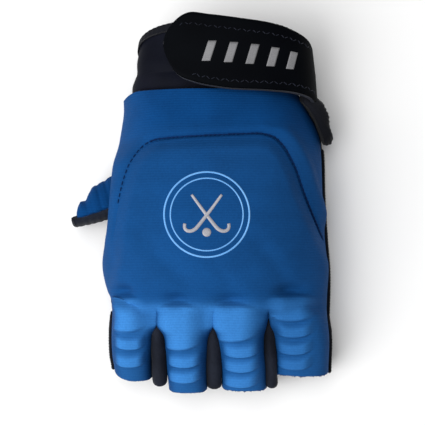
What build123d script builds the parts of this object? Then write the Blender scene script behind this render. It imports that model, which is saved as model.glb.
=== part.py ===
from build123d import *
import math
import os

# Left-hand field hockey glove lying palm down: half-finger stalls, moulded foam back, neoprene
# cuff and a hook-and-loop wrist strap. Millimetres. +Z points out of the back of the hand,
# +Y from the fingers to the wrist and +X from the thumb side to the little-finger side.
# The origin is under the middle of the hand, on the surface that the palm rests on.

# ---- layers -------------------------------------------------------------------------------
SKIN = 1.2  # knit skin laminated over every foam piece
FOAM_TOP = 5.0  # moulded foam over the back of the hand
FOAM_SIDE = 3.5  # the same foam where it wraps down the sides
LINER = 0.8
PALM = 2.0  # palm fabric and its backing
NEOPRENE = 3.0
GAP = 0.4  # free space between layers that belong to different bodies
FULLNESS = 0.66  # how boxy the arched cross-sections are: 0.55 is an ellipse

# ---- back of the hand: (y, x on the thumb side, x on the little-finger side, crown, foam share)
HAND = [
    (54.0, -44.5, 46.0, 38.0, 0.3),
    (30.0, -49.0, 53.5, 45.0, 1.0),
    (0.0, -52.5, 55.0, 50.0, 1.0),
    (-30.0, -56.5, 57.0, 52.0, 1.0),
    (-61.0, -53.0, 57.0, 46.0, 1.0),
]
HAND_FRONT = HAND[-1][0]
HAND_REAR = HAND[0][0]
LINER_REAR = 40.0
PAD_RISE = 3.0  # how far the raised back pad stands above the rest of the back
PAD_OUTLINE = [(-36, 28), (27, 33), (40, 12), (48, -12), (48, -42), (-48, -42), (-46, -4)]
PAD_CORNER = 6.0
KNUCKLE_RISE = 3.5
KNUCKLE_LENGTH = 12.0
KNUCKLE_Y = -52.0
BINDING = 1.4  # side seam binding, out from the skin
BINDING_HEIGHT = 4.0
THUMB_WINDOW = (-66.0, -36.0, -18.0, 19.0, 31.0)  # x range, y range and top of the thumb's way out
PALM_FRONT = -52.0
SIDE_FRONT_TOP = 12.0  # ahead of the palm the back's sides end this high, clear of bent fingers

# ---- fingers: the blue upper at the rear and at the tip, then the black sleeve's sides ------
FINGER_REAR = -66.5
FINGER_PIVOT = (-63.0, 15.0)  # y and z of the knuckle line that the fingers flex about
FINGER_FOAM_TOP = 4.0
FINGER_FOAM_SIDE = 1.0
SLEEVE = 1.4
SLEEVE_FLOOR = 0.6
FINGER_FULLNESS_SHARE = 0.5  # where along the finger its middle station stands
# name: (rear x range, tip x range, tip y, rear crown, middle crown, tip crown, seam rear, seam tip)
FINGERS = {
    "index": ((-52.5, -31.8), (-50.6, -31.8), -89.0, 37.0, 33.0, 26.0, 20.0, 12.0),
    "middle": ((-24.6, -3.9), (-24.6, -3.9), -95.0, 43.5, 38.0, 28.5, 24.0, 14.0),
    "ring": ((3.6, 24.6), (3.6, 24.8), -94.5, 43.5, 38.0, 28.0, 24.0, 14.0),
    "little": ((31.8, 57.0), (31.6, 57.0), -86.5, 37.0, 33.5, 27.0, 20.0, 13.0),
}
KNUCKLES = {"index": -43.0, "middle": -16.5, "ring": 9.5, "little": 36.5}
KNUCKLE_WIDTH = {"index": 17.0, "middle": 20.0, "ring": 20.0, "little": 19.0}
RIB_RISE = 1.8
RIB_LENGTH = 4.6  # along the finger
RIB_PITCH = 7.6
RIB_SIDE = 2.8  # bare strip left at each side of a finger
RIBS = {"index": 2, "middle": 2, "ring": 3, "little": 2}
# Padded strips between the fingers: (x range, y of the end, crown rear, crown tip, its finger)
FOURCHETTES = {
    "fourchette_index_middle": ((-31.2, -24.0), -93.5, 33.0, 22.0, "middle"),
    "fourchette_middle_ring": ((-3.4, 4.2), -93.5, 34.0, 23.0, "ring"),
    "fourchette_ring_little": ((24.2, 31.1), -93.5, 33.0, 22.0, "ring"),
}
FOURCHETTE_HEIGHT = (20.0, 16.0)  # at the rear and at the tip

# ---- thumb: an upright flattened stall that points to the thumb side ------------------------
THUMB_BASE = (-46.0, 2.5)
THUMB_TURN = 15.0  # degrees, from straight sideways towards the fingers
THUMB_Z = 15.5
# (distance from the pivot, half depth towards the wrist, half depth towards the fingers, half height)
THUMB = [(2.0, 10.0, 8.0, 12.0), (13.0, 9.0, 7.0, 12.5), (23.0, 5.5, 5.5, 11.0)]
THUMB_TIP = 26.0  # where the black half ends, past the blue half
THUMB_RIBS = (12.0, 16.5, 21.0)
THUMB_RIB_LENGTH = 3.0
THUMB_FOAM = 2.4

# ---- cuff -------------------------------------------------------------------------------------
# The neoprene's outside ahead of the wrist joint and at the rim: (y, x range, z low, widest, high)
CUFF_AHEAD = (50.0, -41.0, 46.5, 0.8, 20.0, 39.8)
CUFF_RIM = (88.0, -37.8, 46.5, 1.0, 19.1, 37.3)
CUFF_FRONT = 62.5
RIM_SLOPE = 0.6  # the rim is cut back this much towards the palm, per mm of height
RIM_BINDING = 4.5
RIM_BINDING_WRAP = 0.8
# The soft wrist between hand and cuff, in the same terms
WRIST = [
    (44.0, -40.2, 44.2, 2.5, 7.5, 35.0),
    (54.0, -39.4, 42.4, 2.5, 7.5, 33.6),
    (62.1, -39.5, 45.6, 1.4, 19.0, 38.6),
]

# ---- strap ------------------------------------------------------------------------------------
STRAP_GAP = 2.3  # neoprene to strap: the hook and the loop fabric fill it where they meet
STRAP = 2.6
LOOP = 1.0
HOOK = 0.9
STRAP_OUTLINE = [
    (-12, 90), (-21, 85.5), (-24, 77), (-22, 67), (-17, 60), (-8, 56), (4, 55), (60, 55), (60, 100), (14, 100)
]
STRAP_REAR = 88.5  # y of the strap's rear edge, over the back of the wrist
STRAP_BOTTOM = 16.0  # the strap's root, on the little-finger side
PATCH_X = (-17.0, 22.0)
PATCH_Y = (62.0, 81.0)
EDGE_BINDING = 3.0  # width of the strap's overlocked edge
BADGE_SIZE = (40.0, 14.0)
BADGE_CENTRE = (17.0, 72.0)
BADGE = 0.6
# Folded end of the strap's anchor beside the hand: (x, y) outline, low z, high z
ANCHOR_OUTLINE = [(44, 52.6), (48, 40), (52, 28), (58, 27), (60, 31), (58, 38), (58, 45), (55, 52.6)]
ANCHOR_Z = (6.0, 22.0)

os.makedirs("parts", exist_ok=True)


# ---- shared shapes --------------------------------------------------------------------------
def arch_curves(x_low, x_high, base, crown):
    """Draws half an oval from x_low over the crown to x_high, in the current sketch."""
    middle = (x_low + x_high) / 2
    reach = FULLNESS * (x_high - x_low) / 2
    lift = base + FULLNESS * (crown - base)
    Bezier((x_low, base), (x_low, lift), (middle - reach, crown), (middle, crown))
    Bezier((middle, crown), (middle + reach, crown), (x_high, lift), (x_high, base))


def arch_loft(stations):
    """Solid through half ovals at (y, x_low, x_high, base, crown); crown may lie under base."""
    with BuildPart() as solid:
        for y, x_low, x_high, base, crown in stations:
            with BuildSketch(Plane.XZ.offset(-y)):
                with BuildLine():
                    arch_curves(x_low, x_high, base, crown)
                    Line((x_high, base), (x_low, base))
                make_face()
        loft()
    return solid.part


def oval_loft(stations, out=0.0):
    """Solid through whole ovals at (y, x_low, x_high, z_low, z_widest, z_high, slope), grown by out.
    An oval with a slope leans: its y falls by the slope for each mm below its top."""
    with BuildPart() as solid:
        for y, x_low, x_high, z_low, z_widest, z_high, slope in stations:
            stretch = math.hypot(1, slope)
            leaning = Plane(origin=(0, y, CUFF_RIM[5]), x_dir=(1, 0, 0), z_dir=(0, -1, slope))
            low, widest, high = [(z - CUFF_RIM[5]) * stretch for z in (z_low - out, z_widest, z_high + out)]
            with BuildSketch(leaning):
                with BuildLine():
                    arch_curves(x_low - out, x_high + out, widest, high)
                    arch_curves(x_high + out, x_low - out, widest, low)
                make_face()
        loft()
    return solid.part


def prism(outline, low, high, corner=0.0):
    """Upright solid over an outline of (x, y) points."""
    with BuildPart() as solid:
        with BuildSketch(Plane.XY.offset(low)) as flat:
            with BuildLine():
                Polyline(*outline, close=True)
            make_face()
            if corner:
                fillet(flat.vertices(), corner)
        extrude(amount=high - low)
    return solid.part


def block(x_range, y_range, z_range, corner=0.0):
    """Upright box from its ranges, its four upright edges rounded by corner."""
    (x0, x1), (y0, y1) = x_range, y_range
    return prism([(x0, y0), (x1, y0), (x1, y1), (x0, y1)], *z_range, corner=corner)


def finish(part, name):
    """Labels a finished piece and writes it."""
    part.label = name
    export_step(part, f"parts/{name}.step")


def hand_layer(depth):
    """The back's outline, this many layers in: 0 outside, 1 under the skin, 2 foam, 3 liner.
    A negative depth is a rise in mm above the skin."""
    stations = []
    for y, x_low, x_high, crown, share in HAND:
        side = SKIN * (depth >= 1) + FOAM_SIDE * share * (depth >= 2) + LINER * (depth >= 3)
        top = SKIN * (depth >= 1) + FOAM_TOP * share * (depth >= 2) + LINER * (depth >= 3)
        rise = -min(depth, 0)
        stations.append((y, x_low + side - rise, x_high - side + rise, PALM, crown - top + rise))
    return arch_loft(stations)


# ---- back of the hand -----------------------------------------------------------------------
knuckle_boxes = {
    name: ((x - KNUCKLE_WIDTH[name] / 2, x + KNUCKLE_WIDTH[name] / 2),
           (KNUCKLE_Y - KNUCKLE_LENGTH / 2, KNUCKLE_Y + KNUCKLE_LENGTH / 2))
    for name, x in KNUCKLES.items()
}
RELIEF_Z = (25.0, 70.0)
window = block(THUMB_WINDOW[0:2], THUMB_WINDOW[2:4], (PALM, THUMB_WINDOW[4]))
ahead_of_palm = block((-80, 80), (HAND_FRONT - 5, PALM_FRONT), (PALM - 1, SIDE_FRONT_TOP))
hand_outside = hand_layer(0)
under_skin = hand_layer(1)
under_foam = hand_layer(2)
under_liner = hand_layer(3)
pad_outside = prism(PAD_OUTLINE, *RELIEF_Z, corner=PAD_CORNER) & hand_layer(-PAD_RISE)
pad_inside = offset(prism(PAD_OUTLINE, *RELIEF_Z, corner=PAD_CORNER).faces().sort_by(Axis.Z)[0], -SKIN)
pad_inside = extrude(pad_inside, RELIEF_Z[1] - RELIEF_Z[0], dir=(0, 0, 1)) & hand_layer(-PAD_RISE + SKIN)


def knuckle_bump(name, inside):
    """One raised knuckle block, from its outside or from under its skin."""
    (x0, x1), (y0, y1) = knuckle_boxes[name]
    skin = SKIN if inside else 0.0
    column = block((x0 + skin, x1 - skin), (y0 + skin, y1 - skin), RELIEF_Z, corner=4.0 - skin)
    return column & hand_layer(skin - KNUCKLE_RISE)


with BuildPart() as back_cover:
    add(hand_outside)
    add(pad_outside)
    for name in KNUCKLES:
        add(knuckle_bump(name, inside=False))
    add(under_skin, mode=Mode.SUBTRACT)
    add(pad_inside, mode=Mode.SUBTRACT)
    for name in KNUCKLES:
        add(knuckle_bump(name, inside=True), mode=Mode.SUBTRACT)
    add(window, mode=Mode.SUBTRACT)
    add(ahead_of_palm, mode=Mode.SUBTRACT)
finish(back_cover.part, "back_cover")

with BuildPart() as dorsal_pad:
    add(pad_inside)
    add(under_skin, mode=Mode.SUBTRACT)
finish(dorsal_pad.part, "dorsal_pad")

for name in KNUCKLES:
    with BuildPart() as knuckle_pad:
        add(knuckle_bump(name, inside=True))
        add(under_skin, mode=Mode.SUBTRACT)
    finish(knuckle_pad.part, f"knuckle_pad_{name}")

with BuildPart() as back_foam:
    add(under_skin)
    add(under_foam, mode=Mode.SUBTRACT)
    add(window, mode=Mode.SUBTRACT)
    add(ahead_of_palm, mode=Mode.SUBTRACT)
finish(back_foam.part, "back_foam")

with BuildPart() as back_liner:
    add(under_foam)
    add(under_liner, mode=Mode.SUBTRACT)
    add(window, mode=Mode.SUBTRACT)
    add(ahead_of_palm, mode=Mode.SUBTRACT)
    add(block((-80, 80), (LINER_REAR, 80), (-1, 80)), mode=Mode.SUBTRACT)
finish(back_liner.part, "back_liner")

# ---- palm and side seams ----------------------------------------------------------------------
with BuildPart() as palm_panel:
    with BuildSketch() as palm_outline:
        with BuildLine():
            Spline(*[(x_low - BINDING, y) for y, x_low, _, _, _ in HAND])
            Line((HAND[-1][1] - BINDING, HAND_FRONT), (HAND[-1][2] + BINDING, HAND_FRONT))
            Spline(*[(x_high + BINDING, y) for y, _, x_high, _, _ in reversed(HAND)])
            Line((HAND[0][2] + BINDING, HAND_REAR), (HAND[0][1] - BINDING, HAND_REAR))
        make_face()
    extrude(amount=PALM)
    add(block((-80, 80), (-80, PALM_FRONT), (-1, 10)), mode=Mode.SUBTRACT)
finish(palm_panel.part, "palm_panel")

seam_band = block((-80, 80), (HAND_FRONT, HAND_REAR), (PALM, PALM + BINDING_HEIGHT))
for name, side in {"seam_binding_ulnar": (0, 80), "seam_binding_radial": (-80, 0)}.items():
    with BuildPart() as seam_binding:
        add(hand_layer(-BINDING))
        add(seam_band, mode=Mode.INTERSECT)
        add(block(side, (-80, 80), (-1, 80)), mode=Mode.INTERSECT)
        add(hand_outside, mode=Mode.SUBTRACT)
        add(window, mode=Mode.SUBTRACT)
        add(ahead_of_palm, mode=Mode.SUBTRACT)
        add(prism(ANCHOR_OUTLINE, *ANCHOR_Z), mode=Mode.SUBTRACT)
    finish(seam_binding.part, name)

with BuildPart() as strap_anchor:
    add(prism(ANCHOR_OUTLINE, *ANCHOR_Z, corner=0.8))
    add(hand_outside, mode=Mode.SUBTRACT)
finish(strap_anchor.part, "strap_anchor")


# ---- fingers ----------------------------------------------------------------------------------
def finger_stations(name, side=0.0, top=0.0):
    """Stations of a finger's blue upper, this far in from its sides and top."""
    rear, tip, y_tip, crown_rear, crown_middle, crown_tip, seam_rear, seam_tip = FINGERS[name]
    share = FINGER_FULLNESS_SHARE
    middle = [a + (b - a) * share for a, b in zip(rear, tip)]
    y_middle = FINGER_REAR + (y_tip - FINGER_REAR) * share
    seam_middle = seam_rear + (seam_tip - seam_rear) * share
    return [
        (FINGER_REAR, rear[0] + side, rear[1] - side, seam_rear, crown_rear - top),
        (y_middle, middle[0] + side, middle[1] - side, seam_middle, crown_middle - top),
        (y_tip, tip[0] + side, tip[1] - side, seam_tip, crown_tip - top),
    ]


def sleeve_stations(name, inset=0.0):
    """Stations of a finger's black underside, hanging from the same seam."""
    return [
        (y, x_low + inset, x_high - inset, seam, SLEEVE_FLOOR + inset)
        for y, x_low, x_high, seam, _ in finger_stations(name)
    ]


def rib_blocks(name, inside):
    """The raised bars across a finger, from outside or from under the skin."""
    skin = SKIN if inside else 0.0
    rear, tip, y_tip = FINGERS[name][0:3]
    x_low, x_high = tip[0] + RIB_SIDE, tip[1] - RIB_SIDE
    bars = []
    for i in range(RIBS[name]):
        y = y_tip + 6.0 + i * RIB_PITCH
        half = RIB_LENGTH / 2 - skin
        bars.append(block((x_low + skin, x_high - skin), (y - half, y + half), (10, 70)))
    raised = [
        (y, x0 - RIB_RISE + skin, x1 + RIB_RISE - skin, base, crown + RIB_RISE - skin)
        for y, x0, x1, base, crown in finger_stations(name)
    ]
    return [bar & arch_loft(raised) for bar in bars]


for name in FINGERS:
    finger_outside = arch_loft(finger_stations(name))
    finger_under_skin = arch_loft(finger_stations(name, SKIN, SKIN))
    finger_inside = arch_loft(finger_stations(name, SKIN + FINGER_FOAM_SIDE, SKIN + FINGER_FOAM_TOP))

    with BuildPart() as finger_cover:
        add(finger_outside)
        for bar in rib_blocks(name, inside=False):
            add(bar)
        add(finger_under_skin, mode=Mode.SUBTRACT)
        for bar in rib_blocks(name, inside=True):
            add(bar, mode=Mode.SUBTRACT)
    finish(finger_cover.part, f"{name}_cover")

    with BuildPart() as finger_ribs:
        for bar in rib_blocks(name, inside=True):
            add(bar)
        add(finger_under_skin, mode=Mode.SUBTRACT)
    finish(finger_ribs.part, f"{name}_ribs")

    with BuildPart() as finger_foam:
        add(finger_under_skin)
        add(finger_inside, mode=Mode.SUBTRACT)
    finish(finger_foam.part, f"{name}_foam")

    with BuildPart() as finger_sleeve:
        add(arch_loft(sleeve_stations(name)))
        add(arch_loft(sleeve_stations(name, SLEEVE)), mode=Mode.SUBTRACT)
    finish(finger_sleeve.part, f"{name}_sleeve")

for name, (x_range, y_tip, crown_rear, crown_tip, finger) in FOURCHETTES.items():
    middle = sum(x_range) / 2
    width = x_range[1] - x_range[0]
    ends = ((FINGER_REAR, crown_rear, FOURCHETTE_HEIGHT[0]), (y_tip, crown_tip, FOURCHETTE_HEIGHT[1]))
    with BuildPart() as fourchette:
        for y, crown, height in ends:
            with BuildSketch(Plane.XZ.offset(-y)):
                with Locations((middle, crown - height / 2)):
                    SlotOverall(height, width, rotation=90)
        loft()
        add(arch_loft(finger_stations(finger)), mode=Mode.SUBTRACT)
        add(arch_loft(sleeve_stations(finger)), mode=Mode.SUBTRACT)
    finish(fourchette.part, name)


# ---- thumb ------------------------------------------------------------------------------------
# The thumb's own plane looks along it: its x runs towards the wrist and its y up.
turn = math.radians(THUMB_TURN)
THUMB_DIRECTION = (-math.cos(turn), -math.sin(turn), 0)
THUMB_TO_WRIST = (-math.sin(turn), math.cos(turn), 0)


def thumb_plane(distance):
    """Plane across the thumb, this far from its pivot."""
    origin = (
        THUMB_BASE[0] + distance * THUMB_DIRECTION[0],
        THUMB_BASE[1] + distance * THUMB_DIRECTION[1],
        THUMB_Z,
    )
    return Plane(origin=origin, x_dir=(-THUMB_TO_WRIST[0], -THUMB_TO_WRIST[1], 0), z_dir=THUMB_DIRECTION)


def thumb_half(towards_wrist, inset, stations=THUMB):
    """Half of the stall's oval, on the wrist side or the finger side of its upright middle."""
    with BuildPart() as solid:
        for distance, wrist, finger, height in stations:
            depth = -(wrist - inset) if towards_wrist else finger - inset
            tall = height - inset
            with BuildSketch(thumb_plane(distance)):
                with BuildLine():
                    Bezier((0, tall), (FULLNESS * depth, tall), (depth, FULLNESS * tall), (depth, 0))
                    Bezier((depth, 0), (depth, -FULLNESS * tall), (FULLNESS * depth, -tall), (0, -tall))
                    Line((0, -tall), (0, tall))
                make_face()
        loft()
    return solid.part


def thumb_slabs(skin):
    """Slabs across the thumb where its ribs stand."""
    slabs = []
    for distance in THUMB_RIBS:
        with BuildPart() as slab:
            with BuildSketch(thumb_plane(distance - THUMB_RIB_LENGTH / 2 + skin)):
                Rectangle(60, 2 * (THUMB[-1][3] - 3.0 - skin))
            extrude(amount=THUMB_RIB_LENGTH - 2 * skin)
        slabs.append(slab.part)
    return slabs


thumb_raised = thumb_half(True, -RIB_RISE)
thumb_raised_inside = thumb_half(True, SKIN - RIB_RISE)
with BuildPart() as thumb_cover:
    add(thumb_half(True, 0.0))
    for slab in thumb_slabs(0.0):
        add(slab & thumb_raised)
    add(thumb_half(True, SKIN), mode=Mode.SUBTRACT)
    for slab in thumb_slabs(0.6):
        add(slab & thumb_raised_inside, mode=Mode.SUBTRACT)
finish(thumb_cover.part, "thumb_cover")

with BuildPart() as thumb_ribs:
    for slab in thumb_slabs(0.6):
        add(slab & thumb_raised_inside)
    add(thumb_half(True, SKIN), mode=Mode.SUBTRACT)
finish(thumb_ribs.part, "thumb_ribs")

with BuildPart() as thumb_foam:
    add(thumb_half(True, SKIN))
    add(thumb_half(True, SKIN + THUMB_FOAM), mode=Mode.SUBTRACT)
finish(thumb_foam.part, "thumb_foam")

sleeve_thumb = THUMB[:-1] + [(THUMB_TIP, THUMB[-1][1], THUMB[-1][2], THUMB[-1][3])]
with BuildPart() as thumb_sleeve:
    add(thumb_half(False, 0.0, sleeve_thumb))
    add(thumb_half(False, SLEEVE, sleeve_thumb), mode=Mode.SUBTRACT)
finish(thumb_sleeve.part, "thumb_sleeve")


# ---- cuff -------------------------------------------------------------------------------------
def cuff_station(y):
    """The cuff's outside where its top is at this y, leaning more and more towards the rim."""
    share = (y - CUFF_AHEAD[0]) / (CUFF_RIM[0] - CUFF_AHEAD[0])
    section = [a + (b - a) * share for a, b in zip(CUFF_AHEAD, CUFF_RIM)]
    slope = RIM_SLOPE * max(0.0, y - CUFF_FRONT) / (CUFF_RIM[0] - CUFF_FRONT)
    return (*section, slope)


def cuff_layer(inner, outer, *ys):
    """The ring between two offsets of the cuff's outside, through the stations at these ys."""
    stations = [cuff_station(y) for y in ys]
    with BuildPart() as ring:
        add(oval_loft(stations, outer))
        add(oval_loft(stations, inner), mode=Mode.SUBTRACT)
    return ring.part


rim = CUFF_RIM[0]
band_rear = rim - RIM_BINDING
band = cuff_layer(-NEOPRENE, 0.0, CUFF_FRONT, (CUFF_FRONT + band_rear) / 2, band_rear)
finish(band, "cuff_band")

rim_binding = cuff_layer(-NEOPRENE - RIM_BINDING_WRAP, RIM_BINDING_WRAP, band_rear, rim)
finish(rim_binding, "cuff_rim_binding")

patch_column = block(PATCH_X, PATCH_Y, (25, 60), corner=3.0)
strap_ys = (CUFF_AHEAD[0], CUFF_FRONT, (CUFF_FRONT + STRAP_REAR) / 2, STRAP_REAR)
with BuildPart() as loop_patch:
    add(cuff_layer(0.0, LOOP, CUFF_FRONT, (CUFF_FRONT + band_rear) / 2, band_rear))
    add(patch_column, mode=Mode.INTERSECT)
finish(loop_patch.part, "loop_patch")

wrist_stations = [(*station, 0.0) for station in WRIST]
with BuildPart() as wrist_sleeve:
    add(oval_loft(wrist_stations))
    add(oval_loft(wrist_stations, -NEOPRENE), mode=Mode.SUBTRACT)
finish(wrist_sleeve.part, "wrist_sleeve")


# ---- strap ------------------------------------------------------------------------------------
def strap_region(inset):
    """Upright column over the strap's outline, drawn in from its edges."""
    slope = cuff_station(STRAP_REAR)[-1]
    leaning = Plane(origin=(0, STRAP_REAR - inset, CUFF_RIM[5]), x_dir=(1, 0, 0), z_dir=(0, 1, -slope))
    with BuildPart() as column:
        with BuildSketch(Plane.XY.offset(STRAP_BOTTOM)) as flat:
            with BuildLine():
                Polyline(*STRAP_OUTLINE, close=True)
            make_face()
            if inset:
                offset(amount=-inset, mode=Mode.REPLACE)
        extrude(amount=60)
        if inset:
            split(bisect_by=leaning, keep=Keep.BOTTOM)
    return column.part


strap_inside = STRAP_GAP
strap_outside = STRAP_GAP + STRAP
strap_shell = cuff_layer(strap_inside, strap_outside, *strap_ys)
with BuildPart() as strap_band:
    add(strap_shell)
    add(strap_region(EDGE_BINDING), mode=Mode.INTERSECT)
finish(strap_band.part, "strap_band")

with BuildPart() as strap_edge:
    add(strap_shell)
    add(strap_region(0.0), mode=Mode.INTERSECT)
    add(strap_band.part, mode=Mode.SUBTRACT)
finish(strap_edge.part, "strap_edge_binding")

with BuildPart() as hook_patch:
    add(cuff_layer(strap_inside - HOOK, strap_inside, *strap_ys))
    add(patch_column, mode=Mode.INTERSECT)
finish(hook_patch.part, "hook_patch")

with BuildPart() as strap_badge:
    add(cuff_layer(strap_outside, strap_outside + BADGE, *strap_ys))
    badge_x = (BADGE_CENTRE[0] - BADGE_SIZE[0] / 2, BADGE_CENTRE[0] + BADGE_SIZE[0] / 2)
    badge_y = (BADGE_CENTRE[1] - BADGE_SIZE[1] / 2, BADGE_CENTRE[1] + BADGE_SIZE[1] / 2)
    add(block(badge_x, badge_y, (25, 60), corner=2.0), mode=Mode.INTERSECT)
finish(strap_badge.part, "strap_badge")
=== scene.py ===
import math

import bpy
import numpy as np
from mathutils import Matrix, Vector


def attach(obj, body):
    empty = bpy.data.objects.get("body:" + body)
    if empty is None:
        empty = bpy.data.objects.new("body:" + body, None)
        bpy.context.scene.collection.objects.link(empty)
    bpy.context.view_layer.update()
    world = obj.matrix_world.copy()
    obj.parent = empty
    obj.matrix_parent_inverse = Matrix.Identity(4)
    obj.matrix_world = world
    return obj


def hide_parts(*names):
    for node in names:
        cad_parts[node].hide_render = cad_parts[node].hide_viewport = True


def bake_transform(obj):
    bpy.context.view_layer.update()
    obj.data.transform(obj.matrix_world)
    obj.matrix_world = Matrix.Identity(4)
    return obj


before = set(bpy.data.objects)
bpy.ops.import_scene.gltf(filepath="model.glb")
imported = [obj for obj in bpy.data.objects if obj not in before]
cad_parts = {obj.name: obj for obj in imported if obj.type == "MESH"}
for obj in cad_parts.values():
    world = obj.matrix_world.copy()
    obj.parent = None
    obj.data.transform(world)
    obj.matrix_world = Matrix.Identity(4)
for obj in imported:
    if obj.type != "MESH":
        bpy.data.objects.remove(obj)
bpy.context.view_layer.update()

MM = 0.001
rng = np.random.default_rng(7)  # draws the frayed cloth edges and nothing else


# ---------- numbers and curves
def ease(a, b, x):
    """0 on a's side, 1 on b's side, smooth between."""
    t = np.clip((np.asarray(x, float) - a) / (b - a), 0, 1)
    return t * t * (3 - 2 * t)


def bell(x, centre, width):
    return np.exp(-(((np.asarray(x, float) - centre) / width) ** 2))


def curve(knots, x):
    """Smooth curve through (x, value) knots, flat beyond its ends."""
    kx = np.array([k[0] for k in knots], float)
    ky = np.array([k[1] for k in knots], float)
    order = np.argsort(kx)
    kx, ky = kx[order], ky[order]
    slope = np.gradient(ky, kx)
    x = np.clip(np.asarray(x, float), kx[0], kx[-1])
    i = np.clip(np.searchsorted(kx, x) - 1, 0, len(kx) - 2)
    h = kx[i + 1] - kx[i]
    t = (x - kx[i]) / h
    a = (1 + 2 * t) * (1 - t) ** 2 * ky[i] + t * (1 - t) ** 2 * h * slope[i]
    return a + t * t * (3 - 2 * t) * ky[i + 1] + t * t * (t - 1) * h * slope[i + 1]


def bezier(p0, p1, p2, p3, n):
    t = np.linspace(0, 1, n)[:, None]
    p0, p1, p2, p3 = (np.array(p, float) for p in (p0, p1, p2, p3))
    return (1 - t) ** 3 * p0 + 3 * (1 - t) ** 2 * t * p1 + 3 * (1 - t) * t * t * p2 + t**3 * p3


FULL = 0.66  # how full an arch's shoulders are


def arch(xl, xr, zl, zr, crown, n=70):
    """Half oval from (xl, zl) over the crown to (xr, zr), as points (x, z)."""
    m = (xl + xr) / 2
    left, right = (
        bezier((x, z), (x, z + FULL * (crown - z)), (m + FULL * (x - m), crown), (m, crown), n)
        for x, z in ((xl, zl), (xr, zr))
    )
    return np.vstack([left, right[-2::-1]])


def oval(x0, x1, z0, zw, z1):
    """Whole oval from its lowest-x point over the top and back, as points (x, z)."""
    return np.vstack([arch(x0, x1, zw, zw, z1, 40), arch(x1, x0, zw, zw, z0, 40)[1:-1]])


def run_of(points, axis=0):
    """The distance along a polyline, or along an axis of a grid, of each of its points."""
    steps = np.linalg.norm(np.diff(points, axis=axis), axis=-1)
    return np.insert(np.cumsum(steps, axis), 0, 0, axis)


def at_run(points, run, at):
    """Values given at the points of a polyline, looked up at these distances along it."""
    return np.stack([np.interp(at, run, column) for column in points.T], -1)


def resample(points, fractions):
    """Points at these fractions of a polyline's length."""
    run = run_of(points)
    return at_run(points, run, np.asarray(fractions) * run[-1])


def ring(points, n):
    """A closed outline resampled to n even points."""
    return resample(np.vstack([points, points[:1]]), np.arange(n) / n)


def stand(section, y):
    """A section's (x, z) points as points of space at y."""
    return np.stack([section[:, 0], np.broadcast_to(y, len(section)), section[:, 1]], 1)


def squared(wave, power):
    """A sine or cosine with flattened tops, for ovals with corners."""
    return np.sign(wave) * np.abs(wave) ** power


def turns(n):
    """n even angles once round a circle."""
    return np.linspace(0, 2 * math.pi, n, endpoint=False)


def unit(vectors):
    return vectors / np.maximum(np.linalg.norm(vectors, axis=-1, keepdims=True), 1e-9)


def normals_of(P, wrap=False):
    """Unit normals of a grid of points (rows along y, columns across), outwards."""
    if wrap:
        across = np.gradient(np.concatenate([P[:, -1:], P, P[:, :1]], 1), axis=1)[:, 1:-1]
    else:
        across = np.gradient(P, axis=1)
    return unit(np.cross(across, np.gradient(P, axis=0)))


def outline_distance(x, y, outline):
    """Signed distance of plan points to a closed outline, positive inside."""
    best = np.full(x.shape, 1e9)
    inside = np.zeros(x.shape, bool)
    for (ax, ay), (bx, by) in zip(outline, np.roll(outline, -1, 0)):
        ex, ey = bx - ax, by - ay
        t = np.clip(((x - ax) * ex + (y - ay) * ey) / (ex * ex + ey * ey), 0, 1)
        best = np.minimum(best, np.hypot(x - ax - t * ex, y - ay - t * ey))
        inside ^= ((ay > y) != (by > y)) & (x < ex * (y - ay) / (by - ay + 1e-12) + ax)
    return np.where(inside, best, -best)


def rounded(outline, n, passes):
    """A closed outline resampled to n points and smoothed this many times."""
    pts = ring(np.array(outline, float), n)
    for _ in range(passes):
        pts = (np.roll(pts, 1, 0) + 2 * pts + np.roll(pts, -1, 0)) / 4
    return pts


# ---------- materials
def srgb(*levels):
    """The shader's colour for three display levels from 0 to 255."""
    linear = [((c / 255 + 0.055) / 1.055) ** 2.4 if c > 10 else c / 255 / 12.92 for c in levels]
    return (*linear, 1.0)


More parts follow.
